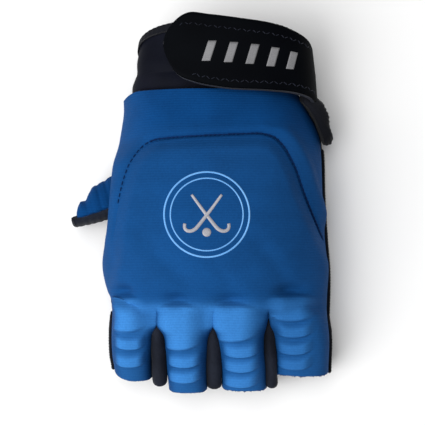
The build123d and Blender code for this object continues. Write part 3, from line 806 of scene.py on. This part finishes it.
for node, side, start in (("seam_binding_ulnar", 1, 26), ("seam_binding_radial", -1, 50)):
    piece = merge(node + "_edge", [overlock(side_edge(side, start), 1.25)], EDGING)
    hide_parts(node)
    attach(piece, "hand")
for finger, column, outwards in (("index", 0, -0.6), ("little", -1, 0.6)):
    edge = finger_outer[finger][:, column] + [outwards, 0, 0]
    piece = merge(f"{finger}_side_edge", [overlock(edge, 1.05)], EDGING)
    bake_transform(piece)

# ---------- thumb
THUMB_BASE = np.array([-46.3, 1.6, 14.4])
THUMB_TURN = math.radians(15)
ALONG = np.array([-math.cos(THUMB_TURN), -math.sin(THUMB_TURN), 0])
TO_WRIST = np.array([-math.sin(THUMB_TURN), math.cos(THUMB_TURN), 0])
THUMB_AXES = (ALONG, TO_WRIST, np.array([0, 0, 1.0]))


def thumb_point(*place):
    """A point from its distance along the thumb, its place towards the wrist and its height."""
    return sum((np.asarray(k)[..., None] * axis for k, axis in zip(place, THUMB_AXES)), THUMB_BASE)


def thumb_half(sign, d, wide, tall, middle):
    """Half of the thumb's tube, on the wrist side (1) or the finger side (-1)."""
    angle = np.linspace(-math.pi / 2, math.pi / 2, 34)
    side = middle[:, None] + wide[:, None] * squared(np.cos(angle), 0.85) * sign
    up = tall[:, None] * squared(np.sin(angle), 0.85)
    return thumb_point(np.broadcast_to(d[:, None], side.shape), side, up)


def thumb_tall(d):
    return curve([(0, 9.0), (8, 10.0), (16, 10.9), (26.5, 10.2)], d)


def thumb_middle(d):
    """Where the blue guard meets the black underside, across the thumb."""
    return curve([(0, -2.4), (14, -4.5), (26.5, -4.8)], d)


GUARD_RIBS = (4.4, 9.0, 13.4, 20.4)
d = np.linspace(0.5, 24.2, 90)
wide = curve([
    (0, 15.0), (8.5, 13.9), (14, 12.9), (16.2, 11.2), (18.8, 8.0), (21.8, 7.6), (23.1, 6.2), (24.3, 3.6),
], d)
ribs = sum(0.45 * ease(1, 0.3, np.abs(d - c) / 2.2) for c in GUARD_RIBS)
outside = thumb_half(1, d, wide + ribs, thumb_tall(d) + 0.5 * ribs, thumb_middle(d))
inside = thumb_half(1, d, wide - 2.6, thumb_tall(d) - 2.2, thumb_middle(d))
guard = shell("thumb_guard", outside[:, ::-1], inside[:, ::-1], BLUE_LAYERS, bulge=0.3, fray=0.1)
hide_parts("thumb_cover", "thumb_foam", "thumb_ribs")
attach(guard, "thumb")

d = np.linspace(0.5, 26.4, 60)
wide = curve([(0, 5.5), (14, 4.6), (26.4, 3.9)], d) + 0.12 * np.sin(d * 1.9)
outside = thumb_half(-1, d, wide, thumb_tall(d), thumb_middle(d) + 0.3)
inside = thumb_half(-1, d, wide - 1.5, thumb_tall(d) - 1.4, thumb_middle(d) + 0.3)
under = shell("thumb_underside", outside, inside, [BLACK_KNIT, LINING, BLACK_KNIT], bulge=0.8)
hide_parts("thumb_sleeve")
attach(under, "thumb")

# the knit gusset that fills the blue's cut-out on the thumb side and runs into the thumb
MOUTH_Y, MOUTH_LONG, MOUTH_Z, MOUTH_TALL = -0.8, 29.0, 14.4, 13.6  # middle and half size, along y and z
ROOT_OUT, ROOT_WIDE, ROOT_TALL = 3.5, 9.6, 8.0  # the ring inside the thumb where it ends
angle = turns(96)
mouth_y = MOUTH_Y + MOUTH_LONG * squared(np.cos(angle), 0.62)
mouth_z = MOUTH_Z + MOUTH_TALL * squared(np.sin(angle), 0.62)
mouth = np.stack([curve(LEFT, mouth_y) + 2.6 + 3.2 * (mouth_z / 28) ** 2, mouth_y, mouth_z], 1)
root = thumb_point(np.full(len(angle), ROOT_OUT), 1.3 + ROOT_WIDE * np.cos(angle), ROOT_TALL * np.sin(angle))
t = np.linspace(0, 1, 26)[:, None, None]
share = ease(0, 1, t) * 0.55 + t * 0.45
P = (mouth * (1 - share) + root * share - 2.6 * np.sin(math.pi * t) * ALONG)[:, ::-1]
P = P + 0.3 * np.sin(t * 24) * np.sin(math.pi * t) * normals_of(P, True)
gusset = shell("thumb_gusset", P, P - 1.1 * normals_of(P, True), [BLACK_KNIT, LINING, BLACK_KNIT], wrap=True)
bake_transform(gusset)

# ---------- cuff
RIM_Y, RIM_Z, SLOPE, CUFF_FRONT, CUFF_Y0 = 88.0, 37.3, 0.6, 62.5, 50.0
N_RING = 132
WALL = 2.8
RIM_SIDES = 2 * N_RING


def cuff_spans(y, out):
    """x of both sides, z of the bottom, widest place and top, grown by out, and the way to the rim."""
    f = (y - CUFF_Y0) / (RIM_Y - CUFF_Y0)
    return -41.0 + 3.2 * f - out, 46.5 - 2.6 * f + out, 0.8 - out, 20.0 - f, 39.8 - 2.5 * f + out, f


def leaned(y, z):
    """y at height z on a ring whose top is at y: its bottom leans towards the hand."""
    return y - SLOPE * max(0.0, y - CUFF_FRONT) / (RIM_Y - CUFF_FRONT) * (RIM_Z - z)


def cuff_ring(y, out, n):
    """The cuff's outline where its top is at y, grown by out: n points."""
    x0, x1, z0, zw, z1, f = cuff_spans(y, out)
    section = ring(oval(x0, x1, z0 + 0.2 * f, zw, z1), n)
    return stand(section, leaned(y, section[:, 1]))


# the soft wrist's sides, bottom, widest height and top, as (y, value)
WRIST = [
    [(44, -40.8), (54, -41.8), (62.5, -40.2)], [(44, 44.2), (54, 42.4), (62.5, 46.5)],
    [(44, 2.5), (54, 2.3), (62.5, 0.9)], [(44, 7.5), (54, 9), (62.5, 19.7)],
    [(44, 35.0), (54, 33.6), (62.5, 39.0)],
]


def wrist_ring(y, out, n):
    """The soft wrist between hand and cuff: narrow inside the hand's rear opening."""
    x0, x1, z0, zw, z1 = (curve(knots, y) for knots in WRIST)
    return stand(ring(oval(x0 - out, x1 + out, z0 - out, zw, z1 + out), n), y)


cuff_ys = np.linspace(CUFF_FRONT, RIM_Y - 1.0, 40)
wrist_ys = np.linspace(45, CUFF_FRONT, 24)[:-1]
outer, inner = (
    np.array([wrist_ring(y, out, N_RING) for y in wrist_ys] + [cuff_ring(y, out, N_RING) for y in cuff_ys])
    for out in (0, -WALL)
)
fold = 0.7 * np.sin(outer[..., 1] * 0.42 + 0.08 * outer[..., 0]) * bell(outer[..., 1], 60, 9)
outer = outer + normals_of(outer, True) * fold[..., None]
cuff = shell("cuff_neoprene", outer, inner, [NEOPRENE, LINING, NEOPRENE], wrap=True)
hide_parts("wrist_sleeve", "cuff_band")
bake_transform(cuff)

# a U-shaped binding wrapped over the rim: outside, over the edge, inside
OUTSIDE, INSIDE, TURN = 0.9, -3.6, 0.25  # how far out each leg is, and where the turn over the edge starts
rim_rows = []
for t in np.linspace(-1, 1, 15):
    out = float(np.interp(t, (-TURN, TURN), (OUTSIDE, INSIDE)))
    beyond = abs(t) - TURN
    edge = 1.0 - 1.2 * (abs(t) / TURN) ** 2 if beyond < 0 else -6.0 * beyond
    rim_rows.append(cuff_ring(RIM_Y + edge, out, RIM_SIDES))
rim = np.array(rim_rows)
rim[..., 1:] += (0.6 * 0.14 * np.sin(np.arange(RIM_SIDES) * 2 * math.pi / 3.4))[:, None]
binding = shell("cuff_rim_binding_tape", rim, rim - 0.6 * normals_of(rim, True), [EDGING] * 3, wrap=True)
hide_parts("cuff_rim_binding")
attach(binding, "cuff")

# ---------- strap
ARC = 132.0  # mm of the wrap per unit of p, about
STRAP_START, STRAP_END, ROUND_END = 0.25, 1.04, 17.0
STRAP_LOW = [
    (0.25, 68), (0.3, 61.4), (0.38, 57.2), (0.5, 54.2), (0.7, 53.0), (0.82, 52.2), (0.9, 50.6), (0.97, 48),
    (1.04, 46),
]
STRAP_HIGH = [
    (0.25, 86.6), (0.33, 89.4), (0.45, 87.8), (0.6, 86.0), (0.74, 85.2), (0.82, 84.6), (0.9, 84.4),
    (1.04, 84.6),
]
FACE_OUT, UNDER_OUT = 5.0, 2.4  # heights over the cuff


def strap_point(p, y, out):
    """A point on the wrap: p is the share of the upper arch from the thumb side, y its top line."""
    x0, x1, z0, zw, z1, _ = cuff_spans(y, out)
    up = arch(x0, x1, zw, zw, z1)
    run = run_of(up)
    whole = np.vstack([up, arch(x1, x0, zw, zw, z0)[1:]])
    x, z = at_run(whole, run_of(whole), p * run[-1])
    return np.array([x, leaned(y, z), z])


def on_strap(*grids):
    """A grid of points on the wrap, from grids or single values of p, y and the height over the cuff."""
    return np.array([[strap_point(*place) for place in zip(*row)] for row in zip(*np.broadcast_arrays(*grids))])


# s runs from the strap's lower edge to its upper, q from its rounded end to where it has its full width
s = np.linspace(-1, 1, 34)[:, None]
ps = STRAP_START + (STRAP_END - STRAP_START) * np.linspace(0, 1, 110) ** 1.25
q = np.minimum(1, (ps - STRAP_START) * ARC / ROUND_END)
low, high = curve(STRAP_LOW, ps), curve(STRAP_HIGH, ps)
half = (high - low) / 2 * np.maximum(0.03, 1 - (1 - q) ** 2.5) ** (1 / 2.5)
ys = (high + low) / 2 - 1.5 * (1 - q) ** 2 + half * s
sunk = 1 - np.minimum(1, (1 - np.abs(s)) * 9) * np.minimum(1, 0.15 + q * 3)
outer, inner = on_strap(ps, ys, FACE_OUT - 1.1 * sunk**2), on_strap(ps, ys, UNDER_OUT)
strap = shell("strap_band_laminate", outer, inner, [STRAP, LOOP_PILE, STRAP_EDGE_AND_HIGHLIGHT], bulge=0.45)
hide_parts("strap_band", "strap_edge_binding")
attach(strap, "strap")

threads = []
for line, inset, start in ((STRAP_LOW, 3.4, 0.38), (STRAP_HIGH, -6.0, 0.32)):
    ps = np.linspace(start, 0.93, 160)[None]
    face, below = (on_strap(ps, curve(line, ps) + inset, out)[0] for out in (FACE_OUT, FACE_OUT - 1))
    threads += stitches(face, face - below, length=1.5, gap=0.9, radius=0.17, sink=0.1, slant=0.5)
thread = merge("strap_stitches", threads, THREAD)
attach(thread, "strap")

# five plain slanted bars printed where the strap carries its print, at (x, y)
BARS = ((-2.8, 70.6), (7.8, 70.0), (18.2, 69.4), (28.2, 68.6), (37.6, 67.8))
BAR_HALF, BAR_SLANT, BAR_LENGTH = 2.3, 1.7, 4.4
ps = np.linspace(0.3, 1.0, 200)
xs = np.array([strap_point(p, 73, FACE_OUT)[0] for p in ps])
u, v = np.meshgrid(np.linspace(-1, 1, 7), np.linspace(-1, 1, 9))
bars = []
for x, y in BARS:
    p = np.interp(x, xs, ps) + (BAR_HALF * u + BAR_SLANT * v) / ARC
    bars.append(slab(*(on_strap(p, y + BAR_LENGTH * v, FACE_OUT + lift) for lift in (0.13, -0.1))))
badge = merge("strap_bars", bars, PRINT_GREY)
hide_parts("strap_badge")
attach(badge, "strap")

ps, ys = np.meshgrid(np.linspace(0.285, 0.53, 50), np.linspace(63, 82, 24))
for node, mat, outs, body, slot in (
    ("hook_patch", HOOKS, (2.3, 1.45), "strap", "hook"),
    ("loop_patch", LOOP_PILE, (1.0, 0.1), "cuff", "loop"),
):
    grids = [on_strap(ps, ys, out) for out in outs]
    if node == "hook_patch":
        # the hooks are on the side that faces the cuff
        grids = [g[:, ::-1] for g in grids[::-1]]
    piece = shell(node + "_tape", *grids, [mat, EDGING, EDGING], bulge=0.2)
    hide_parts(node)
    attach(piece, body)

# ---------- strap anchor
ANCHOR = rounded([
    (43, 53.6), (49.5, 53.5), (54.5, 49.5), (57.6, 43), (57.9, 37), (59.8, 31.5), (58.6, 28.4), (55.2, 28),
    (53, 33), (50.4, 39.5), (46.5, 45.5), (42, 50),
], 120, 2)
LEVELS = 14
centre = ANCHOR.mean(0)
share = np.abs(np.linspace(-1, 1, LEVELS)) ** 3
scallop = 0.22 * np.sin(np.arange(len(ANCHOR)) * 2 * math.pi / 4) * (ANCHOR[:, 0] > 55)
P = np.zeros((LEVELS, len(ANCHOR), 3))
P[..., :2] = centre + (ANCHOR - centre) * (1 - 0.24 * share)[:, None, None]
P[..., 2] = np.linspace(6.5, 23, LEVELS)[:, None] + 5.0 * ease(54, 44, P[..., 0])
P[..., :2] += unit(ANCHOR - centre) * scallop[:, None]
P = P[::-1]
m = len(ANCHOR)
faces = grid_faces(LEVELS, m, 0, True)
verts = np.vstack([P.reshape(-1, 3), P[0].mean(0) + [0, 0, 0.8], P[-1].mean(0)])
for c in range(m):
    d = (c + 1) % m
    faces.append((len(verts) - 2, d, c))
    faces.append((len(verts) - 1, (LEVELS - 1) * m + c, (LEVELS - 1) * m + d))
anchor = make("strap_anchor_tab", verts, faces, [EDGING])
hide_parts("strap_anchor")
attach(anchor, "hand")


# ---------- prints and the pad's seam
PRINT_LOW, PRINT_TOP = -0.12, 0.14  # a print's underside and face, measured from the knit
print_normals = normals_of(hand_outer)


def on_back(x, y):
    """The point and normal of the blue back over a plan position, from its nearest grid point."""
    gx, gy, gz = hand_outer[..., 0], hand_outer[..., 1], hand_outer[..., 2]
    gap = (gx - x) ** 2 + (gy - y) ** 2 + 1e6 * (gz < 20)
    near = np.unravel_index(np.argmin(gap), gap.shape)
    p, normal = hand_outer[near], print_normals[near]
    z = p[2] - ((x - p[0]) * normal[0] + (y - p[1]) * normal[1]) / max(normal[2], 0.2)
    return np.array([x, y, z]), normal


def lifted(x, y, up):
    """A point this far above the blue back."""
    q, normal = on_back(x, y)
    return q + normal * up


def decal_strip(points, width, closed=True):
    """A thin printed line along plan points on the back, closed underneath."""
    if closed:
        tangent = np.roll(points, -1, 0) - np.roll(points, 1, 0)
    else:
        tangent = np.gradient(points, axis=0)
    tangent = unit(tangent)
    side = np.stack([-tangent[:, 1], tangent[:, 0]], 1) * np.broadcast_to(width, len(points))[:, None] / 2
    section = ((-1, PRINT_LOW), (-0.86, PRINT_TOP), (0.86, PRINT_TOP), (1, PRINT_LOW))
    verts = [lifted(*(p + s * k), up) for p, s in zip(points, side) for k, up in section]
    faces = grid_faces(len(points), 4, wrap=True, flip=True)
    last = (len(points) - 1) * 4
    if closed:
        faces += [(c, (c + 1) % 4, last + (c + 1) % 4, last + c) for c in range(4)]
    else:
        faces += [(0, 1, 2, 3), (last + 3, last + 2, last + 1, last)]
    return np.array(verts), faces


def circle(centre, radius, n):
    """n plan points round a circle."""
    return centre + radius * np.stack([np.cos(turns(n)), np.sin(turns(n))], 1)


def disc(centre, radius, n=28):
    """A round printed spot, as concentric rings on the back."""
    rings = ((radius, PRINT_LOW), (radius * 0.92, PRINT_TOP), (radius * 0.45, PRINT_TOP + 0.02))
    verts = [lifted(x, y, up) for r, up in rings for x, y in circle(centre, r, n)]
    faces = grid_faces(len(rings), n, wrap=True)
    faces += [tuple(2 * n + c for c in range(n)), tuple(range(n))[::-1]]
    return np.array(verts), faces


EMBLEM = np.array([-4.0, -8.5])
lines = [decal_strip(circle(EMBLEM, radius, 140), width) for radius, width in ((20.4, 0.9), (17.4, 0.7))]
emblem = merge("emblem_rings", lines, PALE_BLUE)
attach(emblem, "hand")
# two plain crossed sticks and a ball in the middle
shaft = bezier((7.2, 9.4), (3.6, 4.4), (-0.6, -1.4), (-4.6, -6.2), 26)
hook = bezier((-4.6, -6.2), (-7.4, -9.4), (-11.6, -8.2), (-10.4, -4.4), 22)
stick = np.vstack([shaft, hook[1:]])
grow = np.concatenate([np.linspace(1.3, 1.9, len(shaft)), np.linspace(1.9, 1.6, len(hook) - 1)])
marks = [decal_strip(stick * (side, 1) + EMBLEM, grow, closed=False) for side in (1, -1)]
marks.append(disc(EMBLEM - (0, 8.6), 2.2))
sticks = merge("emblem_sticks_and_ball", marks, SILVER)
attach(sticks, "hand")

# thread in the groove round the raised pad: separate stitches on the thumb side, a close line elsewhere
groove = [p for p in PAD if p[1] > -21]
first = next(k for k in range(len(groove)) if groove[k][0] < 0)
path, up = (np.array(column) for column in zip(*(on_back(x, y) for x, y in groove[first:])))
last_stitch = int(np.nonzero(path[:, 0] < -31)[0][-1])
rises = int(np.argmin(np.abs(path[:last_stitch, 1] + 3)))
stitched = slice(rises, last_stitch + 1)
seam = stitches(path[stitched], up[stitched], length=1.5, gap=1.5, radius=0.3, sink=0.0)
seam.append(overlock(path[last_stitch:] + up[last_stitch:] * 0.05, 0.42, wave=0.28, pitch=2.3))
seam = merge("pad_seam_thread", seam, BLUE_THREAD)
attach(seam, "hand")

# ---------- stage, light and camera
bpy.ops.mesh.primitive_plane_add(size=6, location=(0, 0, 0))
floor = bpy.context.object
floor.name = "floor"
floor.data.materials.append(floor_white())


def area(name, location, size, power):
    """A square lamp that faces the glove."""
    data = bpy.data.lights.new(name, "AREA")
    data.size = size
    data.energy = power
    obj = bpy.data.objects.new(name, data)
    bpy.context.scene.collection.objects.link(obj)
    obj.location = location
    direction = Vector((0, 0, 0.02)) - Vector(location)
    obj.rotation_euler = direction.to_track_quat("-Z", "Y").to_euler()


area("key", (-1.25, -0.7, 1.45), 1.7, 40)
area("top", (-0.3, 0.35, 1.8), 1.4, 15)
world = bpy.data.worlds.new("studio")
world.use_nodes = True
background = world.node_tree.nodes["Background"]
background.inputs["Color"].default_value = (1, 1, 1, 1)
background.inputs["Strength"].default_value = 0.31
bpy.context.scene.world = world

DISTANCE, TILT = 0.70, math.radians(2.5)
FRAME_WIDTH, SENSOR = 0.2125, 36
camera_data = bpy.data.cameras.new("camera")
camera_data.sensor_width = SENSOR
camera_data.lens = SENSOR * DISTANCE / FRAME_WIDTH
camera = bpy.data.objects.new("camera", camera_data)
bpy.context.scene.collection.objects.link(camera)
target = np.array([-1.25, -6.25, 22.0]) * MM
camera.location = target + DISTANCE * np.array([0, -math.sin(TILT), math.cos(TILT)])
camera.rotation_euler = (TILT, 0, 0)
bpy.context.scene.camera = camera
bpy.context.scene.view_settings.view_transform = "Standard"
